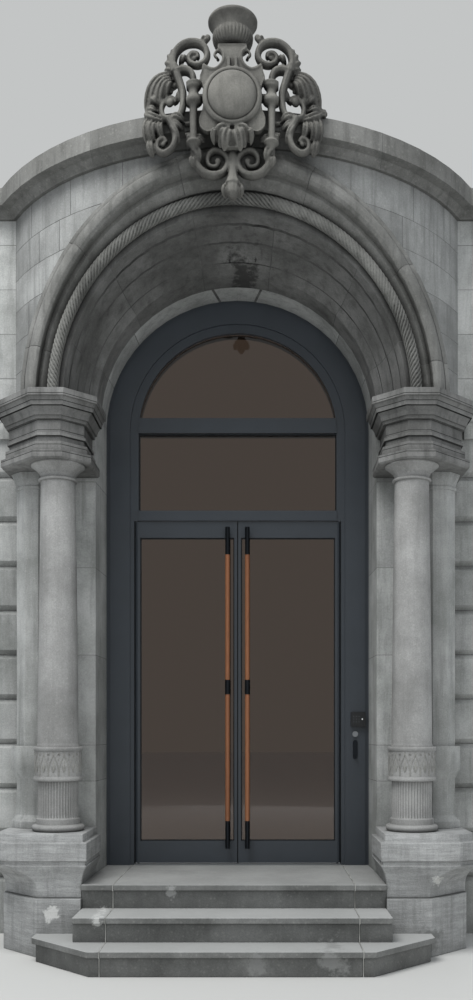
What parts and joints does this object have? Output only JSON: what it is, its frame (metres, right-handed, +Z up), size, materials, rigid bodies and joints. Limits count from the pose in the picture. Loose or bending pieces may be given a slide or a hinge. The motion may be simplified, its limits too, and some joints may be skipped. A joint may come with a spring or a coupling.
{
  "type": "arched stone entrance portal with glazed double doors",
  "caption": "Arched stone entrance portal with steps, columns, a bowed arch, a carved cartouche and glazed double doors.",
  "frame": {"origin": "on the ground, under the middle of the door plane", "axes": "+Z up, +Y from the street into the building, +X to the right as seen from the street"},
  "size_m": [3.7, 2.06, 6.07],
  "materials": {
    "limestone": "dressed grey limestone, weathered",
    "step_stone": "dark grey step stone, worn",
    "frame_paint": "satin dark blue grey paint",
    "glass": "clear glazing",
    "handle_wood": "oiled reddish hardwood",
    "dark_metal": "dark bronzed metal",
    "reveal_wood": "reddish brown veneer",
    "reader_plastic": "black housing"
  },
  "bodies": {
    "portal": {"bottom_step": "step_stone", "middle_step": "step_stone", "landing": "step_stone", "left_plinth": "limestone", "right_plinth": "limestone", "left_pedestal": "limestone", "right_pedestal": "limestone", "left_column_base": "limestone", "right_column_base": "limestone", "left_column_shaft": "limestone", "right_column_shaft": "limestone", "left_capital": "limestone", "right_capital": "limestone", "left_rear_pilaster": "limestone", "right_rear_pilaster": "limestone", "left_impost": "limestone", "right_impost": "limestone", "left_wall": "limestone", "right_wall": "limestone", "left_upper_wall": "limestone", "right_upper_wall": "limestone", "left_spandrel": "limestone", "right_spandrel": "limestone", "archivolt": "limestone", "rope_moulding": "limestone", "arch_cove": "limestone", "string_course": "limestone", "cartouche_shield": "limestone", "cartouche_boss": "limestone", "cartouche_urn": "limestone", "left_scrollwork": "limestone", "right_scrollwork": "limestone", "left_frame_jamb": "frame_paint", "right_frame_jamb": "frame_paint", "frame_arch": "frame_paint", "transom_bar": "frame_paint", "fanlight_bar": "frame_paint", "threshold": "frame_paint", "transom_glass": "glass", "fanlight_glass": "glass", "inner_lining": "reveal_wood", "entry_reader": "reader_plastic", "lock_cylinder": "dark_metal", "lock_lever": "dark_metal"},
    "left_leaf": {"left_leaf_frame": "frame_paint", "left_leaf_glass": "glass", "left_outer_pull": "dark_metal", "left_outer_grip": "handle_wood", "left_inner_pull": "dark_metal", "left_inner_grip": "handle_wood"},
    "right_leaf": {"right_leaf_frame": "frame_paint", "right_leaf_glass": "glass", "right_outer_pull": "dark_metal", "right_outer_grip": "handle_wood", "right_inner_pull": "dark_metal", "right_inner_grip": "handle_wood"}
  },
  "joints": [
    {"name": "left_leaf_swing", "type": "hinge", "parent": "portal", "child": "left_leaf", "pos_m": [-0.7615, 0.0425, 1.8], "axis": [0, 0, -1], "range_deg": [0, 90]},
    {"name": "right_leaf_swing", "type": "hinge", "parent": "portal", "child": "right_leaf", "pos_m": [0.7615, 0.0425, 1.8], "axis": [0, 0, 1], "range_deg": [0, 90]}
  ]
}
